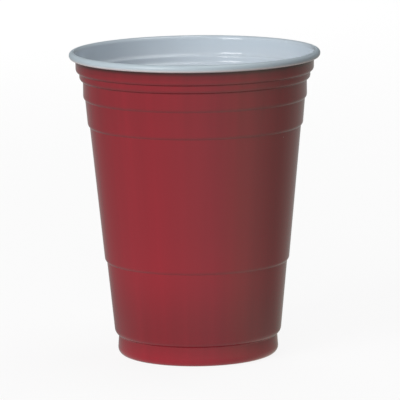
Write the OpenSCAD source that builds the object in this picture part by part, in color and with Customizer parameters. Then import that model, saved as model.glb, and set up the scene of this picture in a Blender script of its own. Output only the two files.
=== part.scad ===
// Plastic party cup, drawn and rolled from one sheet that is red outside and white inside.
// The section is a bent sheet: a list of corners on its red face, each with a bend radius,
// rounded into arcs and given its thickness. Turning that section round +Z makes the cup.
// Origin: centre of the circle that the foot stands on. +Z points up, through the mouth.

/* [Cup] */
// Height from the surface it stands on to the top of the rim
cup_h = 117.3; // [112:0.1:130]
// Diameter over the rolled rim
rim_d = 96; // [94:0.1:104]
// Diameter over the foot, where it is widest
foot_d = 61.7; // [56:0.1:64]
// Thickness of the plastic sheet
sheet_t = 0.4; // [0.3:0.05:0.6]
// Radius in the bottom of each crease, on the red face
crease_round = 0.35; // [0.1:0.05:0.6]

/* [Rolled rim] */
// Diameter over the round section of the roll
roll_d = 2.8; // [2.4:0.1:3.6]
// How far round the sheet is rolled, in degrees
roll_turn = 300; // [240:5:310]

/* [Stacking steps under the rim] */
// Height of the neck, from the top of the rim down to the upper crease
neck_h = 8.1; // [6.5:0.1:11]
// Height of the collar, from the upper crease down to the second
collar_h = 3.1; // [2.6:0.1:5]
// Draft of the neck, in degrees from upright
neck_draft = 1; // [0:0.1:4]
// Draft of the collar, in degrees from upright
collar_draft = 0.1; // [0:0.1:4]
// How far the wall steps in at each of the two creases
stack_in = 1.35; // [0.9:0.05:1.7]
// Radius of the shoulder over each of the two creases
stack_round = 1.6; // [0.8:0.1:2]
// Slope of the ledge under each shoulder, in degrees from upright
stack_slope = 72; // [60:1:80]

/* [Grip rings] */
// Height of the upper band, from the second crease down to the third
band_h = 7.2; // [5:0.1:10]
// Draft of the upper band, in degrees from upright
band_draft = 0.1; // [0:0.1:5]
// Height of the lower band, from the third crease down to the fourth
grip_h = 10.5; // [7:0.1:14]
// Draft of the lower band, in degrees from upright
grip_draft = 5; // [0:0.1:6]
// How far the wall steps in at each ring
ring_in = 0.75; // [0.4:0.05:1]
// Radius of the shoulder over each ring
ring_round = 1.9; // [0.8:0.1:3]
// Slope of the ledge under each shoulder, in degrees from upright
ring_slope = 48; // [35:1:65]

/* [Lower wall] */
// Height of the lower wall, from the crease over the foot up to the last ring
lower_h = 28.7; // [20:0.1:36]
// Draft of the lower wall, in degrees from upright
lower_draft = 5.6; // [3:0.1:7]

/* [Foot] */
// Height of the foot, from the surface it stands on up to its crease
foot_h = 7.5; // [6:0.1:10]
// How far the wall steps in at the foot
foot_in = 1.45; // [0.8:0.05:1.8]
// Radius of the shoulder over the foot
foot_shoulder = 3; // [1:0.1:3.5]
// Slope of the ledge under that shoulder, in degrees from upright
foot_slope = 52; // [40:1:70]
// How far the foot leans outwards on its way down, in degrees
foot_flare = 4; // [0:0.1:6]
// Radius at the bottom edge of the foot
foot_round = 2.5; // [1.5:0.1:3.5]
// Width of the flat ring that the cup stands on
foot_flat = 1.4; // [0.8:0.1:3]

/* [Base] */
// Height of the underside of the base panel over the surface the cup stands on
base_lift = 3.4; // [2:0.1:5]
// Slope of the wall between the flat ring and the base panel, in degrees from upright
base_slope = 28; // [10:1:50]
// Radius of the two bends of that wall, on the red face
base_round = 0.9; // [0.7:0.05:1.2]

/* [Hidden] */
$fn = 144;
bend_steps = 6;
roll_steps = 24;
right_angle = 90;
half_turn = 180;

// The sheet leaves the neck in the neck's own direction and is rolled outwards from there.
roll_r = roll_d / 2;
roll_inner = roll_r - sheet_t;
roll_centre = [rim_d / 2 - roll_r, cup_h - roll_r];
roll_start = half_turn - neck_draft;
neck_top = roll_centre + roll_inner * [cos(roll_start), sin(roll_start)];

// Heights of the six creases, counted down from the rim and up from the foot
z_a = cup_h - neck_h;
z_b = z_a - collar_h;
z_c = z_b - band_h;
z_d = z_c - grip_h;
z_f = foot_h;
z_e = z_f + lower_h;

// Height that a ledge climbs while the wall steps in, and its length on the slope
function rise(inward, slope) = inward / tan(slope);
function ledge(inward, slope) = inward / sin(slope);

// Largest shoulder that a ledge can hold beside the round of its crease
function shoulder(wanted, inward, slope) =
    min(wanted, ledge(inward, slope) / tan(slope / 2) - crease_round);

// Point of a wall at height z, where the wall passes through p and leans by draft degrees
function on_wall(p, draft, z) = [p.x + (z - p.y) * tan(draft), z];

// Crease that lies a step in and a ledge down from the corner of its shoulder
function crease_under(corner, inward, slope) = corner - [inward, rise(inward, slope)];

// Corner of the shoulder that lies a step out and a ledge up from its crease
function corner_over(crease, inward, slope) = crease + [inward, rise(inward, slope)];

// Upper walls, from the rim down: corner of each shoulder and the crease under it
corner_a = on_wall(neck_top, neck_draft, z_a + rise(stack_in, stack_slope));
crease_a = crease_under(corner_a, stack_in, stack_slope);
corner_b = on_wall(crease_a, collar_draft, z_b + rise(stack_in, stack_slope));
crease_b = crease_under(corner_b, stack_in, stack_slope);
corner_c = on_wall(crease_b, band_draft, z_c + rise(ring_in, ring_slope));
crease_c = crease_under(corner_c, ring_in, ring_slope);
corner_d = on_wall(crease_c, grip_draft, z_d + rise(ring_in, ring_slope));
crease_d = crease_under(corner_d, ring_in, ring_slope);

// Foot and lower wall, from the surface up. The long wall joins corner_e to crease_d.
foot_centre = [foot_d / 2 - foot_round, foot_round];
foot_side = foot_centre + [foot_round / cos(foot_flare), 0];
foot_corner = on_wall(foot_side, -foot_flare, 0);
crease_f = on_wall(foot_side, -foot_flare, z_f);
corner_f = corner_over(crease_f, foot_in, foot_slope);
crease_e = on_wall(corner_f, lower_draft, z_e);
corner_e = corner_over(crease_e, ring_in, ring_slope);

// Base panel, lifted off the surface inside the flat ring
flat_inner = foot_centre.x - foot_flat;
base_turn = right_angle - base_slope;
base_corner = [flat_inner - base_round * tan(base_turn / 2), 0];
panel_corner = base_corner + [-base_lift * tan(base_slope), base_lift];

stack_bend = shoulder(stack_round, stack_in, stack_slope);
ring_bend = shoulder(ring_round, ring_in, ring_slope);
foot_bend = shoulder(foot_shoulder, foot_in, foot_slope);

// Corners of the red face from the middle of the base out to the neck: [point, bend radius]
corners = [
    [[0, base_lift], 0],
    [panel_corner, base_round],
    [base_corner, base_round],
    [foot_corner, foot_round],
    [crease_f, crease_round],
    [corner_f, foot_bend],
    [crease_e, crease_round],
    [corner_e, ring_bend],
    [crease_d, crease_round],
    [corner_d, ring_bend],
    [crease_c, crease_round],
    [corner_c, ring_bend],
    [crease_b, crease_round],
    [corner_b, stack_bend],
    [crease_a, crease_round],
    [corner_a, stack_bend],
    [neck_top, 0]
];

function unit(v) = v / norm(v);
function left_of(v) = [-v.y, v.x];
function turn_angle(u, v) = atan2(u.x * v.y - u.y * v.x, u * v);

// Points of the bend at corner i on the face that lies depth to the left of the red face.
// The arc touches both neighbouring walls, and the arcs of all depths share one centre.
function bend(i, depth) =
    let (
        point = corners[i][0],
        radius = corners[i][1],
        come = unit(point - corners[i - 1][0]),
        go = unit(corners[i + 1][0] - point),
        turn = turn_angle(come, go),
        side = sign(turn),
        start = point - come * radius * tan(abs(turn) / 2),
        centre = start + left_of(come) * side * radius,
        spoke = (start - centre) / radius * (radius - side * depth)
    )
    [for (k = [0:bend_steps])
        let (a = turn * k / bend_steps)
        centre + [spoke.x * cos(a) - spoke.y * sin(a), spoke.x * sin(a) + spoke.y * cos(a)]];

// Points of the rolled rim at that depth, from the neck over the top and down outside
function roll(depth) =
    [for (k = [0:roll_steps])
        let (a = roll_start - roll_turn * k / roll_steps)
        roll_centre + (roll_inner + depth) * [cos(a), sin(a)]];

// One face of the sheet, from the middle of the base to the rolled edge
function face(depth) = concat(
    [corners[0][0] + [0, depth]],
    [for (i = [1:len(corners) - 2]) each bend(i, depth)],
    roll(depth)
);

function reversed(list) = [for (i = [len(list) - 1:-1:0]) list[i]];

// Part of the sheet's thickness between two depths, turned round the axis
module ply(from, to) {
    rotate_extrude()
        polygon(concat(face(from), reversed(face(to))));
}

// The cup is one sheet: its outer half is red all through, and its inner half is white.
module cup() {
    color("firebrick") ply(0, sheet_t / 2);
    color("aliceblue") ply(sheet_t / 2, sheet_t);
}

cup();
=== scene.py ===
# %% [markdown]
# # A plastic party cup
#
# The real object is one sheet of glossy plastic, red on one face and white on the other. Heat and
# suction draw the flat sheet into a mould, and a last tool rolls its rim outwards. Everything that
# we see follows from that: the wall is thin and even, every ring is a bend of the same sheet, and
# the white face shows inside and wraps over the roll.
#
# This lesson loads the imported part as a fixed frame, works out the sheet's section with numpy,
# turns it round the axis, gives each face its own finish, and lights it as in a small studio.

import math

import bpy
import numpy as np
from mathutils import Matrix, Vector


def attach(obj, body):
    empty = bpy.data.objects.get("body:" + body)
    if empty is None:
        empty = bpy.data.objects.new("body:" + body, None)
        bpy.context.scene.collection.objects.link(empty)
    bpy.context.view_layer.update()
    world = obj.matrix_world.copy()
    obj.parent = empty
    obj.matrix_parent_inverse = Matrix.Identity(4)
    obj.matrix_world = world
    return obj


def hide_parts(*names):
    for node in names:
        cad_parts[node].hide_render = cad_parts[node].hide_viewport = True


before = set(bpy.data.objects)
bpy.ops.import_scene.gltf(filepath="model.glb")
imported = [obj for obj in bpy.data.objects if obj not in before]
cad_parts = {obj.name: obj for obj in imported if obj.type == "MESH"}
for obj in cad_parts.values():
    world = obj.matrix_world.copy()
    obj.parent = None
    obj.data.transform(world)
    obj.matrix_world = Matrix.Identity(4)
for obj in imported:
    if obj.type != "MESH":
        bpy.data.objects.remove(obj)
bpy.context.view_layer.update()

# %% [markdown]
# ## Sizes of the sheet
#
# A drawn cup is described best by the corners of its section and the radius of each bend, as a
# mould maker would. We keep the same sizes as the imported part, in millimetres, so the visible
# surface lies on the solid. Only the roll and the steps round the axis are finer here, because
# light shows every facet.

# %% Sizes in millimetres and degrees
MM = 0.001
CUP_H, RIM_D, FOOT_D = 117.3, 96.0, 61.7
SHEET_T, CREASE_ROUND = 0.4, 0.35
ROLL_D, ROLL_TURN = 2.8, 300.0
NECK_H, COLLAR_H, NECK_DRAFT, COLLAR_DRAFT = 8.1, 3.1, 1.0, 0.1
STACK_IN, STACK_ROUND, STACK_SLOPE = 1.35, 1.6, 72.0
BAND_H, GRIP_H, BAND_DRAFT, GRIP_DRAFT = 7.2, 10.5, 0.1, 5.0
RING_IN, RING_ROUND, RING_SLOPE = 0.75, 1.9, 48.0
LOWER_H, LOWER_DRAFT = 28.7, 5.6
FOOT_H, FOOT_IN, FOOT_SHOULDER, FOOT_SLOPE = 7.5, 1.45, 3.0, 52.0
FOOT_FLARE, FOOT_ROUND, FOOT_FLAT = 4.0, 2.5, 1.4
BASE_LIFT, BASE_SLOPE, BASE_ROUND = 3.4, 28.0, 0.9
print("rim", RIM_D, "mm, height", CUP_H, "mm, sheet", SHEET_T, "mm")

# %% [markdown]
# ## Corners of the section
#
# Each wall is a straight line that leans by its draft, the few degrees that let the cup leave its
# mould. Each ring is a ledge: the wall steps in along a steep slope. We could type some sixty
# points by eye, but then no wall would keep its draft. So we walk from wall to wall instead: down
# from the rim to crease D, and up from the foot to ring E. The long wall joins the two.


# %% Walls, ledges and corners
def tan_of(degrees):
    """Tangent of an angle in degrees."""
    return math.tan(math.radians(degrees))


def on_wall(point, draft, z):
    """Point at height z of the wall through point that leans outwards by draft on its way up."""
    return np.array([point[0] + (z - point[1]) * tan_of(draft), z])


def ledge(step_in, slope):
    """From a crease to the corner over it: outwards by step_in, and up by step_in / tan(slope)."""
    return np.array([step_in, step_in / tan_of(slope)])


def shoulder(wanted, step_in, slope):
    """Bend radius of a shoulder, no larger than its ledge can hold beside the crease's round."""
    length = step_in / math.sin(math.radians(slope))
    return min(wanted, length / tan_of(slope / 2) - CREASE_ROUND)


roll_r = ROLL_D / 2
roll_centre = np.array([RIM_D / 2 - roll_r, CUP_H - roll_r])
roll_start = 180 - NECK_DRAFT
neck_top = roll_centre + (roll_r - SHEET_T) * np.array(
    [math.cos(math.radians(roll_start)), math.sin(math.radians(roll_start))])

stack, ring = ledge(STACK_IN, STACK_SLOPE), ledge(RING_IN, RING_SLOPE)
foot_step = ledge(FOOT_IN, FOOT_SLOPE)
z_a = CUP_H - NECK_H
z_b = z_a - COLLAR_H
z_c = z_b - BAND_H
z_d = z_c - GRIP_H
corner_a = on_wall(neck_top, NECK_DRAFT, z_a + stack[1])
corner_b = on_wall(corner_a - stack, COLLAR_DRAFT, z_b + stack[1])
corner_c = on_wall(corner_b - stack, BAND_DRAFT, z_c + ring[1])
corner_d = on_wall(corner_c - ring, GRIP_DRAFT, z_d + ring[1])

foot_centre = np.array([FOOT_D / 2 - FOOT_ROUND, FOOT_ROUND])
foot_side = foot_centre + [FOOT_ROUND / math.cos(math.radians(FOOT_FLARE)), 0]
foot_corner = on_wall(foot_side, -FOOT_FLARE, 0)
crease_f = on_wall(foot_side, -FOOT_FLARE, FOOT_H)
crease_e = on_wall(crease_f + foot_step, LOWER_DRAFT, FOOT_H + LOWER_H)
flat_inner = foot_centre[0] - FOOT_FLAT
base_corner = np.array([flat_inner - BASE_ROUND * tan_of((90 - BASE_SLOPE) / 2), 0])
panel_corner = base_corner + [-BASE_LIFT * tan_of(BASE_SLOPE), BASE_LIFT]

stack_bend = shoulder(STACK_ROUND, STACK_IN, STACK_SLOPE)
ring_bend = shoulder(RING_ROUND, RING_IN, RING_SLOPE)
foot_bend = shoulder(FOOT_SHOULDER, FOOT_IN, FOOT_SLOPE)
corners = [  # point and bend radius, from the middle of the base out to the neck
    ((0, BASE_LIFT), 0),
    (panel_corner, BASE_ROUND), (base_corner, BASE_ROUND), (foot_corner, FOOT_ROUND),
    (crease_f, CREASE_ROUND), (crease_f + foot_step, foot_bend),
    (crease_e, CREASE_ROUND), (crease_e + ring, ring_bend),
    (corner_d - ring, CREASE_ROUND), (corner_d, ring_bend),
    (corner_c - ring, CREASE_ROUND), (corner_c, ring_bend),
    (corner_b - stack, CREASE_ROUND), (corner_b, stack_bend),
    (corner_a - stack, CREASE_ROUND), (corner_a, stack_bend),
    (neck_top, 0),
]
crease_heights = [round(float(point[1]), 1) for point, _ in corners[4:16:2]]
print(len(corners), "corners; creases at", crease_heights, "mm")

# %% [markdown]
# ## One face of the sheet
#
# A bend of a sheet has one centre for both faces: the face inside the bend has the smaller radius.
# So we work out each face from the same corners with its depth, 0 on the red face and the full
# thickness on the white one. Between two bends the wall is straight. It gets rows of points too,
# close together beside each bend, so that the shading settles before the wall begins.

# %% Bends, walls and the roll
BEND_STEPS, ROLL_STEPS = 6, 36
SETTLE, WALL_STEP = 0.25, 5.0


def turned(vector, angles):
    """Copies of a plane vector turned anticlockwise by each angle in radians, one per row."""
    c, s = np.cos(angles), np.sin(angles)
    return np.stack([vector[0] * c - vector[1] * s, vector[0] * s + vector[1] * c], 1)


def bend(i, depth):
    """Arc at corner i: it touches both neighbouring walls and shares its centre with all depths."""
    before, at, after = (np.asarray(corners[k][0], float) for k in (i - 1, i, i + 1))
    come = (at - before) / np.linalg.norm(at - before)
    go = (after - at) / np.linalg.norm(after - at)
    turn = math.atan2(come[0] * go[1] - come[1] * go[0], come @ go)
    side, radius = math.copysign(1, turn), corners[i][1]
    start = at - come * radius * math.tan(abs(turn) / 2)
    centre = start + side * radius * np.array([-come[1], come[0]])
    spoke = (start - centre) / radius * (radius - side * depth)
    return centre + turned(spoke, turn * np.linspace(0, 1, BEND_STEPS + 1))


def roll(depth):
    """Rolled rim at that depth: a circle followed from the neck over the top and down outside."""
    end_trim = math.degrees(SHEET_T / 2 / (roll_r - SHEET_T / 2))
    angles = np.radians(roll_start - np.linspace(0, ROLL_TURN - end_trim, ROLL_STEPS + 1))
    return roll_centre + (roll_r - SHEET_T + depth) * np.stack([np.cos(angles), np.sin(angles)], 1)


def with_wall_rows(pieces):
    """Joins arcs by straight walls: a row SETTLE from each arc, others at most WALL_STEP apart."""
    rows = [pieces[0]]
    for arc in pieces[1:]:
        a, b = rows[-1][-1], arc[0]
        length = np.linalg.norm(b - a)
        if length > 3 * SETTLE:
            inner = np.linspace(SETTLE, length - SETTLE, 2 + int((length - 2 * SETTLE) / WALL_STEP))
            rows.append(a + (b - a) * (inner / length)[:, None])
        rows.append(arc)
    return np.vstack(rows)


def face(depth):
    """One face of the sheet, from the middle of the base out to the rolled edge."""
    middle = np.array([[0, BASE_LIFT + depth]])
    bends = [bend(i, depth) for i in range(1, len(corners) - 1)]
    return with_wall_rows([middle, *bends, roll(depth)])


red_face, white_face = face(0), face(SHEET_T)
print("points on the red face", len(red_face), "and on the white face", len(white_face))

# %% [markdown]
# ## The whole section
#
# The two faces meet round the sheet's cut edge, under the roll. A knife leaves that edge slightly
# soft, so a half circle joins the faces there. The row where it passes the middle of the sheet is
# also the border between red and white.

# %% Join the faces round the cut edge
EDGE_STEPS = 6


def cut_edge(red_end, white_end, onwards):
    """Half circle from the red face to the white one, bulging in the direction onwards."""
    middle, half = (red_end + white_end) / 2, (white_end - red_end) / 2
    t = np.linspace(-np.pi / 2, np.pi / 2, EDGE_STEPS + 1)[1:-1, None]
    return middle + half * np.sin(t) + np.linalg.norm(half) * onwards * np.cos(t)


end_way = red_face[-1] - red_face[-2]
edge_rows = cut_edge(red_face[-1], white_face[-1], end_way / np.linalg.norm(end_way))
section = np.vstack([red_face, edge_rows, white_face[::-1]])
red_rows = len(red_face) + EDGE_STEPS // 2
along = np.concatenate([[0], np.cumsum(np.linalg.norm(np.diff(section, axis=0), axis=1))])
print("section rows", len(section), "and length along the sheet", round(float(along[-1]), 1), "mm")

# %% [markdown]
# ## Turn the section round the axis
#
# The surface is a function of two parameters: the row of the section and the angle round the axis.
# Blender's Screw modifier would do it, but then the poles at the middle of the base would need
# cleaning, and we would lose track of which vertex came from which row. We compute the grid at
# once as an array, keep one vertex for each pole, and close the ring of angles by joining the last
# column to the first.

# %% Grid of the cup
COLUMNS = 256


def revolve(rows):
    """Vertices (r cos a, r sin a, z) for every row (r, z) and angle a, with the two poles last."""
    angle = np.arange(COLUMNS) * 2 * np.pi / COLUMNS
    ring_rows = rows[1:-1]
    r, z = ring_rows[:, :1], ring_rows[:, 1:]
    grid = np.stack([r * np.cos(angle), r * np.sin(angle), z + 0 * angle], 2)
    poles = np.array([[0, 0, rows[0, 1]], [0, 0, rows[-1, 1]]])
    return np.vstack([grid.reshape(-1, 3), poles])


def grid_faces(ring_count):
    """Quads between neighbouring rows and columns, and a fan of triangles at each pole."""
    col = np.arange(COLUMNS)
    nxt = (col + 1) % COLUMNS
    row = np.arange(ring_count - 1)[:, None] * COLUMNS
    quads = np.stack([row + col, row + nxt, row + COLUMNS + nxt, row + COLUMNS + col], 2)
    first, last = ring_count * COLUMNS, ring_count * COLUMNS + 1
    top = (ring_count - 1) * COLUMNS
    fan_a = np.stack([np.full(COLUMNS, first), nxt, col], 1)
    fan_b = np.stack([np.full(COLUMNS, last), top + col, top + nxt], 1)
    return fan_a, quads.reshape(-1, 4), fan_b


points = revolve(section) * MM
fan_a, quads, fan_b = grid_faces(len(section) - 2)
print("vertices", len(points), "quads", len(quads), "fans", 2 * COLUMNS)

# %% [markdown]
# ## Make the skin
#
# The arrays go into a mesh in one call. It is smooth shaded all over: the bends are real rows of
# points, so no edge has to be marked sharp. The object stays at the origin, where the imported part
# has its own.

# %% Put the grid into a mesh
cup_mesh = bpy.data.meshes.new("cup_skin")
cup_mesh.from_pydata(points.tolist(), [], [*fan_a.tolist(), *quads.tolist(), *fan_b.tolist()])
cup_mesh.validate()
cup_mesh.shade_smooth()
cup = bpy.data.objects.new("cup_skin", cup_mesh)
bpy.context.scene.collection.objects.link(cup)
print("closed skin of", 2 * len(fan_a) + 2 * len(quads), "triangles")

# %% [markdown]
# ## What the surface knows about itself
#
# Two things follow the sheet and not the space around it: which face is white, and how far a point
# lies from the cut edge. The first becomes each polygon's material. The second becomes a named
# attribute that a material can read, because the roll's finish, its painted shade and a painted
# light line under the roll follow it.

# %% Material of each polygon and distance from the cut edge
RED, WHITE = 0, 1
face_row = np.concatenate([np.zeros(COLUMNS), np.repeat(np.arange(len(section) - 3) + 1, COLUMNS),
                           np.full(COLUMNS, len(section) - 2)])
face_finish = np.where(face_row >= red_rows - 1, WHITE, RED).astype(np.int32)

from_edge = np.abs(along - along[red_rows - 1])
per_vertex = np.concatenate([np.repeat(from_edge[1:-1], COLUMNS), from_edge[[0, -1]]])
edge_attribute = cup_mesh.attributes.new("mm_from_cut_edge", "FLOAT", "POINT")
edge_attribute.data.foreach_set("value", per_vertex.astype(np.float32))
print("red polygons", int((face_finish == RED).sum()),
      "white polygons", int((face_finish == WHITE).sum()))

# %% [markdown]
# ## Camera
#
# The photograph was taken from a little above, with the cup nearly in the middle of a long lens's
# view. The values come from fitting the cup's outline to the photograph's.

# %% Camera
CAMERA = {"distance": 1.5137, "elevation": 9.287, "aim_z": 0.05925,
          "turn": 0.052, "roll": -0.726, "lens": 354.88}
SENSOR_WIDTH, NEAREST, FARTHEST = 36, 0.05, 50


def aimed_camera(distance, elevation, aim_z, turn, roll, lens):
    """Camera in front of the cup (towards -Y), raised by elevation, turned sideways and rolled."""
    e, t, k = (math.radians(v) for v in (elevation, turn, roll))
    ahead = Vector((0, math.cos(e), -math.sin(e)))
    place = Vector((0, 0, aim_z)) - distance * ahead
    side = Vector((1, 0, 0))
    look = ahead * math.cos(t) + side * math.sin(t)
    across = side * math.cos(t) - ahead * math.sin(t)
    up = across.cross(look)
    x_axis = across * math.cos(k) + up * math.sin(k)
    y_axis = up * math.cos(k) - across * math.sin(k)
    data = bpy.data.cameras.new("camera")
    data.sensor_width, data.lens = SENSOR_WIDTH, lens
    data.clip_start, data.clip_end = NEAREST, FARTHEST
    camera = bpy.data.objects.new("camera", data)
    facing = Matrix((x_axis, y_axis, -look)).transposed().to_4x4()
    camera.matrix_world = Matrix.Translation(place) @ facing
    bpy.context.scene.collection.objects.link(camera)
    bpy.context.scene.camera = camera
    return camera


camera = aimed_camera(**CAMERA)
print("camera at", [round(v, 3) for v in camera.location])

# %% [markdown]
# ## Building blocks for the finishes
#
# Both faces of the sheet went through the same oven, mould and hands, so they share their effects.
# We build each effect once as a node group with named inputs, and place it in both materials with
# its own values. A small helper adds a node, sets its values and links its inputs, which keeps the
# rest readable.


# %% Helpers for node trees
def add_node(tree, kind, inputs=None, **settings):
    """New node of that kind. Inputs maps a socket's name or number to a value or another socket."""
    node = tree.nodes.new(kind)
    for name, value in settings.items():
        setattr(node, name, value)
    for key, value in (inputs or {}).items():
        if isinstance(value, bpy.types.NodeSocket):
            tree.links.new(value, node.inputs[key])
        else:
            node.inputs[key].default_value = value
    return node


def math_node(tree, operation, first, second=0.0, third=0.0):
    """Output of a Math node."""
    sockets = {0: first, 1: second, 2: third}
    return add_node(tree, "ShaderNodeMath", sockets, operation=operation).outputs[0]


def smooth_step(tree, value, low, high, to_low=0.0, to_high=1.0):
    """Value carried from low...high to to_low...to_high along 3tt - 2ttt, held beyond both ends."""
    sockets = {"Value": value, "From Min": low, "From Max": high,
               "To Min": to_low, "To Max": to_high}
    node = add_node(tree, "ShaderNodeMapRange", sockets, interpolation_type="SMOOTHSTEP")
    return node.outputs["Result"]


def new_group(name, inputs, outputs):
    """Empty node group. Inputs and outputs map each name to a socket type and a first value."""
    tree = bpy.data.node_groups.new(name, "ShaderNodeTree")
    for direction, sockets in (("INPUT", inputs), ("OUTPUT", outputs)):
        for label, (kind, first) in sockets.items():
            socket = tree.interface.new_socket(label, in_out=direction, socket_type=kind)
            if first is not None:
                socket.default_value = first
    given = tree.nodes.new("NodeGroupInput").outputs
    return tree, given, tree.nodes.new("NodeGroupOutput").inputs


def vector_node(tree, operation, inputs):
    """Outputs of a Vector Math node: Vector for most operations, Value for a length."""
    return add_node(tree, "ShaderNodeVectorMath", inputs, operation=operation).outputs


def noise_of(tree, inputs):
    """Value of a Noise Texture node, from 0 to 1 about a mean of one half."""
    return add_node(tree, "ShaderNodeTexNoise", inputs).outputs["Fac"]


def ramp_of(tree, amount, stops):
    """Colour on a ramp at amount. Each stop is a place from 0 to 1 with its colour."""
    node = add_node(tree, "ShaderNodeValToRGB", {0: amount})
    node.color_ramp.interpolation = "EASE"
    while len(node.color_ramp.elements) < len(stops):
        node.color_ramp.elements.new(0.5)
    for element, (position, colour) in zip(node.color_ramp.elements, stops):
        element.position, element.color = position, (*colour, 1)
    return node.outputs["Color"]


FLOAT, VECTOR = "NodeSocketFloat", "NodeSocketVector"
print("helpers for node trees are ready")

# %% [markdown]
# ## Draw streaks
#
# When the hot sheet is pulled into the mould it stretches along the wall. Its colour and its skin
# keep faint streaks in that direction. Noise on plain coordinates would give blotches, so we feed
# it the direction from the axis (which has no seam) and a height that counts for little. Near the
# axis all directions meet, so the streaks fade out before they reach the middle of the base.

# %% Node group: draw streaks
STREAK_DETAIL, STREAK_ROUGHNESS, NOISE_MEAN = 2.0, 0.45, 0.5
NO_STREAKS_WITHIN, ALL_STREAKS_BEYOND = 0.012, 0.026

streaks, given, put = new_group(
    "draw_streaks",
    {"Position": (VECTOR, None), "Streaks Round": (FLOAT, 20.0), "Per Metre Up": (FLOAT, 8.0)},
    {"Streaks": (FLOAT, None)})
level = vector_node(streaks, "MULTIPLY", {0: given["Position"], 1: (1, 1, 0)})["Vector"]
outwards = vector_node(streaks, "NORMALIZE", {0: level})["Vector"]
spread = vector_node(streaks, "SCALE", {0: outwards, "Scale": given["Streaks Round"]})["Vector"]
height = add_node(streaks, "ShaderNodeSeparateXYZ", {0: given["Position"]}).outputs["Z"]
climb = math_node(streaks, "MULTIPLY", height, given["Per Metre Up"])
climb = add_node(streaks, "ShaderNodeCombineXYZ", {"Z": climb}).outputs[0]
drawn = vector_node(streaks, "ADD", {0: spread, 1: climb})["Vector"]
noise = noise_of(streaks, {"Vector": drawn, "Scale": 1.0, "Detail": STREAK_DETAIL,
                           "Roughness": STREAK_ROUGHNESS})
radius = vector_node(streaks, "LENGTH", {0: level})["Value"]
on_wall_only = smooth_step(streaks, radius, NO_STREAKS_WITHIN, ALL_STREAKS_BEYOND)
centred = math_node(streaks, "SUBTRACT", noise, NOISE_MEAN)
kept = math_node(streaks, "MULTIPLY", centred, on_wall_only)
streaks.links.new(math_node(streaks, "MULTIPLY", kept, 1 / NOISE_MEAN), put["Streaks"])
print("group", streaks.name)

# %% [markdown]
# ## Handling marks and dust
#
# A stacked and unpacked cup is never perfectly clean. Hands and neighbouring cups leave patches
# where the gloss is a little duller, and static draws a few specks of dust. Both are hardly
# visible, but without them the gloss looks computed. Two noises of different size, multiplied,
# give rubbed patches. A cell pattern gives the specks, one in about sixteen of its cells.

# %% Node group: handling marks
PATCH_EDGES, RUB_EDGES, LEAST_RUB = (0.42, 0.68), (0.45, 0.75), 0.35
CELLS_PER_METRE, SPECK_EDGES, DUSTY_CELLS = 210.0, (0.07, 0.03), (0.93, 0.95)

marks, given, put = new_group(
    "handling_marks",
    {"Position": (VECTOR, None), "Patch Scale": (FLOAT, 45.0), "Rub Scale": (FLOAT, 260.0)},
    {"Dulling": (FLOAT, None), "Dust": (FLOAT, None)})
place = given["Position"]
patch = noise_of(marks, {"Vector": place, "Scale": given["Patch Scale"], "Detail": 3.0,
                         "Distortion": 0.6})
rub = noise_of(marks, {"Vector": place, "Scale": given["Rub Scale"], "Detail": 5.0,
                       "Roughness": 0.7})
patch_mask = smooth_step(marks, patch, *PATCH_EDGES)
rub_mask = smooth_step(marks, rub, *RUB_EDGES, LEAST_RUB, 1.0)
marks.links.new(math_node(marks, "MULTIPLY", patch_mask, rub_mask), put["Dulling"])
cell = add_node(marks, "ShaderNodeTexVoronoi", {"Vector": place, "Scale": CELLS_PER_METRE},
                feature="F1").outputs
speck = smooth_step(marks, cell["Distance"], *SPECK_EDGES)
chosen = add_node(marks, "ShaderNodeSeparateColor", {0: cell["Color"]}).outputs["Red"]
dusty = smooth_step(marks, chosen, *DUSTY_CELLS)
marks.links.new(math_node(marks, "MULTIPLY", speck, dusty), put["Dust"])
print("group", marks.name)

# %% [markdown]
# ## Skin of the drawn sheet
#
# Moulded plastic is smooth but not a mirror: it copies the mould's fine grain, and it sinks and
# swells a little as it cools. One group gives both as a height, in metres, so each material can
# feed it to its own Bump node.

# %% Node group: skin of the sheet
SWELLS_PER_METRE, GRAINS_PER_METRE = 120.0, 2600.0

skin, given, put = new_group(
    "sheet_skin",
    {"Position": (VECTOR, None), "Swell": (FLOAT, 4e-6), "Grain": (FLOAT, 3e-7),
     "Streaks": (FLOAT, 0.0), "Streak Depth": (FLOAT, 2e-6)},
    {"Height": (FLOAT, None)})
place = given["Position"]
swell = noise_of(skin, {"Vector": place, "Scale": SWELLS_PER_METRE, "Detail": 1.0})
grain = noise_of(skin, {"Vector": place, "Scale": GRAINS_PER_METRE, "Detail": 2.0})
relief = math_node(skin, "MULTIPLY", swell, given["Swell"])
relief = math_node(skin, "MULTIPLY_ADD", grain, given["Grain"], relief)
relief = math_node(skin, "MULTIPLY_ADD", given["Streaks"], given["Streak Depth"], relief)
skin.links.new(relief, put["Height"])
print("group", skin.name)

# %% [markdown]
# ## Painted shade up the wall
#
# The red's lightness changes with the height, and that change is painted shade and light. The red
# is deepest right under the roll, where the roll shades the neck. It lightens down the wall to
# the low ring, deepens again over the foot, where the lower wall lies in shade, and is light once
# more at the foot's lower edge. A ramp over the height holds that, with stops only where its
# course bends. We chose them comparing renders with the photograph. In the bands under the neck
# the draw streaks count for more.

# %% Node group: lightness of the red up the wall
# painted shade: lightness 0 is the shade right under the roll, and the low stop is the shade over
# the foot
PAINTED_SHADE_UP_THE_WALL = (  # height in mm, and lightness from 0 (deep red) to 1 (light red)
    (0, 0.81), (11, 0.55), (37, 0.86), (58, 0.81), (85, 0.765), (100, 0.70), (110, 0.70),
    (112.5, 0.46), (114.1, 0.0))
BANDS_FROM, BANDS_FULL, STREAKS_IN_BANDS = 0.080, 0.095, 1.9

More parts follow.
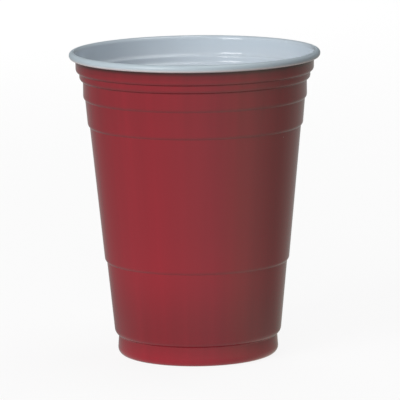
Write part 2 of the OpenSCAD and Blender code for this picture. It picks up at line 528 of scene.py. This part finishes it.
shade_and_streaks, given, put = new_group(
    "painted_shade_and_streaks",
    {"Position": (VECTOR, None), "Streaks": (FLOAT, 0.0), "Streak Share": (FLOAT, 0.1)},
    {"Lightness": (FLOAT, None)})
height = add_node(shade_and_streaks, "ShaderNodeSeparateXYZ", {0: given["Position"]}).outputs["Z"]
up = math_node(shade_and_streaks, "DIVIDE", height, CUP_H * MM)
# painted shade and light up the wall, as a ramp over the height
even = ramp_of(shade_and_streaks, up, [(z / CUP_H, (light, light, light))
                               for z, light in PAINTED_SHADE_UP_THE_WALL])
stronger = smooth_step(shade_and_streaks, height, BANDS_FROM, BANDS_FULL, 1.0, STREAKS_IN_BANDS)
share = math_node(shade_and_streaks, "MULTIPLY", given["Streak Share"], stronger)
streaky = math_node(shade_and_streaks, "MULTIPLY_ADD", given["Streaks"], share, even)
shade_and_streaks.links.new(streaky, put["Lightness"])
print("group", shade_and_streaks.name)

# %% [markdown]
# ## What the two finishes share
#
# Both faces are the same polystyrene under their colours, so both materials start from a
# Principled shader with its index of refraction, 1.59. Both also end alike: the specks of dust
# cover a little of the colour and roughen it, and the relief of the skin bends the normal.

# %% Helpers for a finish
POLYSTYRENE_IOR = 1.59
DUST_GREY = (0.42, 0.36, 0.35, 1)


def start_finish(name):
    """New material with its tree, its Principled shader and the object coordinates."""
    material = bpy.data.materials.new(name)
    material.use_nodes = True
    tree = material.node_tree
    shader = tree.nodes["Principled BSDF"]
    shader.inputs["IOR"].default_value = POLYSTYRENE_IOR
    place = tree.nodes.new("ShaderNodeTexCoord").outputs["Object"]
    return material, tree, shader, place


def use_group(tree, group, inputs):
    """Outputs of a group placed in a tree."""
    return add_node(tree, "ShaderNodeGroup", inputs, node_tree=group).outputs


def mixed(tree, amount, low, high):
    """Colour between low and high by amount: low + amount x (high - low) in each part."""
    node = add_node(tree, "ShaderNodeMix", data_type="RGBA", clamp_factor=True)
    for socket, value in ((node.inputs[0], amount), (node.inputs[6], low), (node.inputs[7], high)):
        if isinstance(value, bpy.types.NodeSocket):
            tree.links.new(value, socket)
        else:
            socket.default_value = value
    return node.outputs[2]


def ranged(tree, amount, low, high):
    """Number between low and high by amount from 0 to 1: low + amount x (high - low)."""
    return math_node(tree, "MULTIPLY_ADD", amount, high - low, low)


def end_finish(tree, shader, colour, rough, dust, cover, roughen):
    """Links colour and roughness, each after its share of dust: cover and roughen times dust."""
    dusted = mixed(tree, math_node(tree, "MULTIPLY", dust, cover), colour, DUST_GREY)
    tree.links.new(dusted, shader.inputs["Base Color"])
    rougher = math_node(tree, "MULTIPLY_ADD", dust, roughen, rough)
    tree.links.new(rougher, shader.inputs["Roughness"])


def add_relief(tree, shader, relief):
    """Bends the shader's normal by a height in metres, so strength and distance are both 1."""
    bump = add_node(tree, "ShaderNodeBump", {"Height": relief, "Strength": 1.0, "Distance": 1.0})
    tree.links.new(bump.outputs["Normal"], shader.inputs["Normal"])


print("index of refraction", POLYSTYRENE_IOR)

# %% [markdown]
# ## Red outside
#
# The red is saturated right through, and what lightens it is gloss: the clear skin of polystyrene
# mirrors the pale floor. So the base colour is dark and pure, and the low roughness keeps the
# mirrored floor crisp. A lighter, duller base colour would give the same brightness in front, but
# not the fall towards both sides.

# %% Red gloss
# painted shade: the ramp up the wall mixes a shaded and a lit copy of the red
SHADED_RED, LIT_RED = (0.055, 0.0005, 0.0020, 1), (0.350, 0.0042, 0.0185, 1)
RED_ROUGHNESS, RED_DUST = (0.075, 0.13), (0.35, 0.25)

red_gloss, tree, shader, place = start_finish("red_gloss")
streak = use_group(tree, streaks, {"Position": place, "Streaks Round": 9.0,
                                   "Per Metre Up": 9.0})["Streaks"]
worn = use_group(tree, marks, {"Position": place})
# painted shade up the wall, with the draw streaks on it
light = use_group(tree, shade_and_streaks, {"Position": place, "Streaks": streak,
                                    "Streak Share": 0.085})["Lightness"]
relief = use_group(tree, skin, {"Position": place, "Streaks": streak})["Height"]

red = mixed(tree, light, SHADED_RED, LIT_RED)
rough = ranged(tree, worn["Dulling"], *RED_ROUGHNESS)
end_finish(tree, shader, red, rough, worn["Dust"], *RED_DUST)
add_relief(tree, shader, relief)
print("material", red_gloss.name)

# %% [markdown]
# ## White inside and over the roll
#
# The white has a cool tint. It is as glossy as the red inside the cup, where it shows short
# highlights, and satin on the roll, where the hot tool that turned the rim dulled it. On the roll
# it gets a darker, cooler copy of the white: painted shade on the roll's top. Towards the cut edge
# it turns a bright pink: a painted light line under the roll, for the glow that the floor and the
# red neck throw up onto it. The ramp of painted shade that darkens the red up the wall also moves
# the white a little between a cool and a lighter warm copy. The distance from the cut edge tells
# the material where the roll ends and where that line begins, which a height in space couldn't.

# %% White satin
# the ramp of painted shade up the wall moves the white a little between these two copies
COOL_WHITE, WARM_WHITE = (0.589, 0.665, 0.732, 1), (0.618, 0.679, 0.739, 1)
# painted shade on the roll's top, and a painted light line of pink under the roll
SHADED_ROLL_WHITE, PAINTED_PINK_LIGHT = (0.515, 0.605, 0.66, 1), (0.95, 0.86, 0.87, 1)
ROLL_BORDER, PINK_BORDER = (6.6, 5.0), (3.0, 1.7)  # mm from the cut edge
WHITE_ROUGHNESS, ROLL_DULLER, WHITE_DUST = (0.055, 0.085), 0.3, (0.3, 0.2)

white_satin, tree, shader, place = start_finish("white_satin")
streak = use_group(tree, streaks, {"Position": place, "Streaks Round": 18.0,
                                   "Per Metre Up": 12.0})["Streaks"]
worn = use_group(tree, marks, {"Position": place, "Patch Scale": 60.0})
# painted shade up the wall, with the draw streaks on it
light = use_group(tree, shade_and_streaks, {"Position": place, "Streaks": streak,
                                    "Streak Share": 0.15})["Lightness"]
relief = use_group(tree, skin, {"Position": place, "Streaks": streak, "Swell": 5e-6})["Height"]

from_cut = add_node(tree, "ShaderNodeAttribute", attribute_name="mm_from_cut_edge").outputs["Fac"]
on_roll = smooth_step(tree, from_cut, *ROLL_BORDER)
white = mixed(tree, light, COOL_WHITE, WARM_WHITE)
# painted shade: a darker, cooler copy of the white on the roll
white = mixed(tree, on_roll, white, SHADED_ROLL_WHITE)
# painted light: the bright pink line under the roll, for the glow of the floor and the red neck
white = mixed(tree, smooth_step(tree, from_cut, *PINK_BORDER), white, PAINTED_PINK_LIGHT)
rough = ranged(tree, worn["Dulling"], *WHITE_ROUGHNESS)
rough = math_node(tree, "MULTIPLY_ADD", on_roll, ROLL_DULLER, rough)
end_finish(tree, shader, white, rough, worn["Dust"], *WHITE_DUST)
add_relief(tree, shader, relief)
print("material", white_satin.name)

# %% [markdown]
# ## Dress the cup
#
# The skin gets both materials, one number per polygon says which, and the frame learns that the
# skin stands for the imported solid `cup`. It rides on the only body there is.

# %% Give the finishes to the cup, and the cup to the frame
cup_mesh.materials.append(red_gloss)
cup_mesh.materials.append(white_satin)
cup_mesh.polygons.foreach_set("material_index", face_finish)
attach(cup, "root")
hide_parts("cup")
print("the skin stands for the node 'cup' and rides on 'root'")

# %% [markdown]
# ## A pale floor
#
# The cup is glossy, and its upright wall mirrors the floor and little else, so the floor is the
# main light of this picture. In the photograph that reflection is brightest towards the front
# right and falls off to both sides, as on a table that a lamp stands over. One plain floor can't
# do all of this, so a Light Path node gives each kind of ray its own look. The eye sees a plain,
# nearly white floor with a faint shadow. Mirror rays see a brightness that changes with the
# direction round the cup. How pale the red wall looks in the photograph, from side to side, tells
# its course, and a few stops follow it. Scattered rays, which light the cup softly
# from below, see a floor that is brighter near the foot and on the lit side.
#
# What the last two see is a little darker right under the cup, where it shades the floor. From
# below the floor is clear, so that the cup's underside can be looked at. The floor lies a hair
# under the foot, so that the two surfaces never coincide.

# %% Values of the floor
FLOOR_HALF, FLOOR_DROP = 8.0, 0.00005
SEEN_GLOW, SEEN_DIFFUSE = 0.885, 0.10
NEUTRAL, WARM = (1.0, 1.0, 0.97), (1.0, 0.98, 0.86)
MIRRORED = (  # degrees round from the front, positive to the right, with brightness and tint
    (-180, 0.38, NEUTRAL), (-135, 0.32, NEUTRAL), (-60, 0.58, NEUTRAL), (15, 0.72, NEUTRAL),
    (50, 0.81, WARM), (110, 0.42, WARM), (180, 0.38, NEUTRAL))
UNDER_CUP, CLEAR_OF_CUP, CONTACT_SHARE = 0.030, 0.085, 0.90
SCATTER_MEAN, SCATTER_SWING, LIT_FROM = 0.60, 0.20, -40.0
NEAR_FOOT, FAR_FROM_FOOT, NEAR_SHARE, FAR_SHARE = 0.032, 0.080, 1.0, 0.36


def grey(value):
    """Colour of three equal parts."""
    return (value, value, value, 1)


floor_mesh = bpy.data.meshes.new("floor")
square = np.array([(-1, -1, 0), (1, -1, 0), (1, 1, 0), (-1, 1, 0)])
floor_corners = square * FLOOR_HALF - (0, 0, FLOOR_DROP)
floor_mesh.from_pydata(floor_corners.tolist(), [], [(0, 1, 2, 3)])
floor = bpy.data.objects.new("floor", floor_mesh)
bpy.context.scene.collection.objects.link(floor)
print("floor", 2 * FLOOR_HALF, "m wide")

# %% What mirror rays and scattered rays see
pale = bpy.data.materials.new("pale_floor")
pale.use_nodes = True
tree = pale.node_tree
tree.nodes.clear()
place = tree.nodes.new("ShaderNodeTexCoord").outputs["Object"]
axes = add_node(tree, "ShaderNodeSeparateXYZ", {0: place}).outputs
backwards = math_node(tree, "MULTIPLY", axes["Y"], -1.0)
azimuth = math_node(tree, "ARCTAN2", axes["X"], backwards)
round_share = math_node(tree, "MULTIPLY_ADD", azimuth, 0.5 / math.pi, 0.5)
mirrored = ramp_of(tree, round_share, [(degrees / 360 + 0.5, [brightness * part for part in tint])
                                       for degrees, brightness, tint in MIRRORED])

away = vector_node(tree, "LENGTH", {0: place})["Value"]
near = smooth_step(tree, away, NEAR_FOOT, FAR_FROM_FOOT, NEAR_SHARE, FAR_SHARE)
off_light = math_node(tree, "SUBTRACT", azimuth, math.radians(LIT_FROM))
lit = math_node(tree, "COSINE", off_light)
lit = math_node(tree, "MULTIPLY_ADD", lit, SCATTER_SWING, SCATTER_MEAN)
scattered = math_node(tree, "MULTIPLY", lit, near)

by_scatter = tree.nodes.new("ShaderNodeLightPath").outputs["Is Diffuse Ray"]
sent = mixed(tree, by_scatter, mirrored, scattered)
shaded = smooth_step(tree, away, UNDER_CUP, CLEAR_OF_CUP, CONTACT_SHARE, 1.0)
unseen = add_node(tree, "ShaderNodeEmission", {"Color": sent, "Strength": shaded}).outputs[0]
print("stops round the mirrored floor", len(MIRRORED))

# %% What the eye sees, from above and from below
glow = add_node(tree, "ShaderNodeEmission", {"Color": grey(SEEN_GLOW)}).outputs[0]
matt = add_node(tree, "ShaderNodeBsdfDiffuse", {"Color": grey(SEEN_DIFFUSE)}).outputs[0]
seen = add_node(tree, "ShaderNodeAddShader", {0: glow, 1: matt}).outputs[0]
by_eye = tree.nodes.new("ShaderNodeLightPath").outputs["Is Camera Ray"]
choice = add_node(tree, "ShaderNodeMixShader", {0: by_eye, 1: unseen, 2: seen}).outputs[0]
from_below = tree.nodes.new("ShaderNodeNewGeometry").outputs["Backfacing"]
clear = tree.nodes.new("ShaderNodeBsdfTransparent").outputs[0]
surface = add_node(tree, "ShaderNodeMixShader", {0: from_below, 1: choice, 2: clear}).outputs[0]
add_node(tree, "ShaderNodeOutputMaterial", {"Surface": surface})
pale.cycles.emission_sampling = "NONE"
floor_mesh.materials.append(pale)
print("material", pale.name)

# %% [markdown]
# ## Soft studio light
#
# Large softboxes stand round the cup, out of sight of the camera. We rendered the cup under one
# lamp at a time, looked for the mix that comes closest to the photograph, and adjusted it: the
# strongest light comes from the front left, a weaker one from the upper right, and some from
# behind. The tall, narrow strip makes the short bright highlights on the bends inside the cup. The
# wide lamps that stand low are hidden from mirror rays, because they would draw wide highlights on
# the shoulders and the rim that the photograph hasn't got. They still light the cup softly.

# %% Softboxes
AIM = Vector((0, 0, 0.06))
SOFTBOXES = {  # degrees round from the front, degrees up, width and height in m, brightness
    "strip": (-39, 26, 0.52, 0.90, 5.5),
    "key": (-58, 17, 0.80, 0.80, 2.0),
    "front": (-10, 22, 0.80, 0.80, 3.1),
    "top_right": (96, 77, 0.80, 0.80, 2.5),
    "back_right": (134, 22, 0.80, 0.80, 2.2),
    "behind": (190, 20, 0.80, 0.80, 3.6),
}
LAMP_DISTANCE = 1.4
HIDDEN_FROM_GLOSS = ("key", "front", "back_right", "behind")


def softbox(name, azimuth, elevation, width, height, brightness):
    """Rectangular lamp of that radiance: its power is pi x width x height x radiance."""
    data = bpy.data.lights.new(name, "AREA")
    data.shape, data.size, data.size_y = "RECTANGLE", width, height
    data.energy = math.pi * width * height * brightness
    a, e = math.radians(azimuth), math.radians(elevation)
    level_part = math.cos(e)
    towards = Vector((level_part * math.sin(a), -level_part * math.cos(a), math.sin(e)))
    lamp = bpy.data.objects.new(name, data)
    lamp.location = AIM + LAMP_DISTANCE * towards
    lamp.rotation_euler = towards.to_track_quat("Z", "Y").to_euler()
    lamp.visible_camera = False
    lamp.visible_glossy = name not in HIDDEN_FROM_GLOSS
    bpy.context.scene.collection.objects.link(lamp)
    return lamp


lamps = [softbox(name, *values) for name, values in SOFTBOXES.items()]
print(len(lamps), "softboxes")

# %% [markdown]
# ## Room and tone
#
# Beyond the floor the camera sees a pale backdrop, and the cup sees an almost dark room, so that
# the lamps and the floor alone shape its light. The Standard view transform shows colours as they
# are. A filmic one would wash out the red.

# %% Room and tone
ROOM_LIGHT, BACKDROP = (0.03, 0.031, 0.033, 1), grey(0.96)
room = bpy.data.worlds.new("room")
room.use_nodes = True
backdrop = room.node_tree.nodes["Background"]
by_eye = room.node_tree.nodes.new("ShaderNodeLightPath").outputs["Is Camera Ray"]
colour = mixed(room.node_tree, by_eye, ROOM_LIGHT, BACKDROP)
room.node_tree.links.new(colour, backdrop.inputs["Color"])
bpy.context.scene.world = room
bpy.context.scene.view_settings.view_transform = "Standard"
print("view transform", bpy.context.scene.view_settings.view_transform)
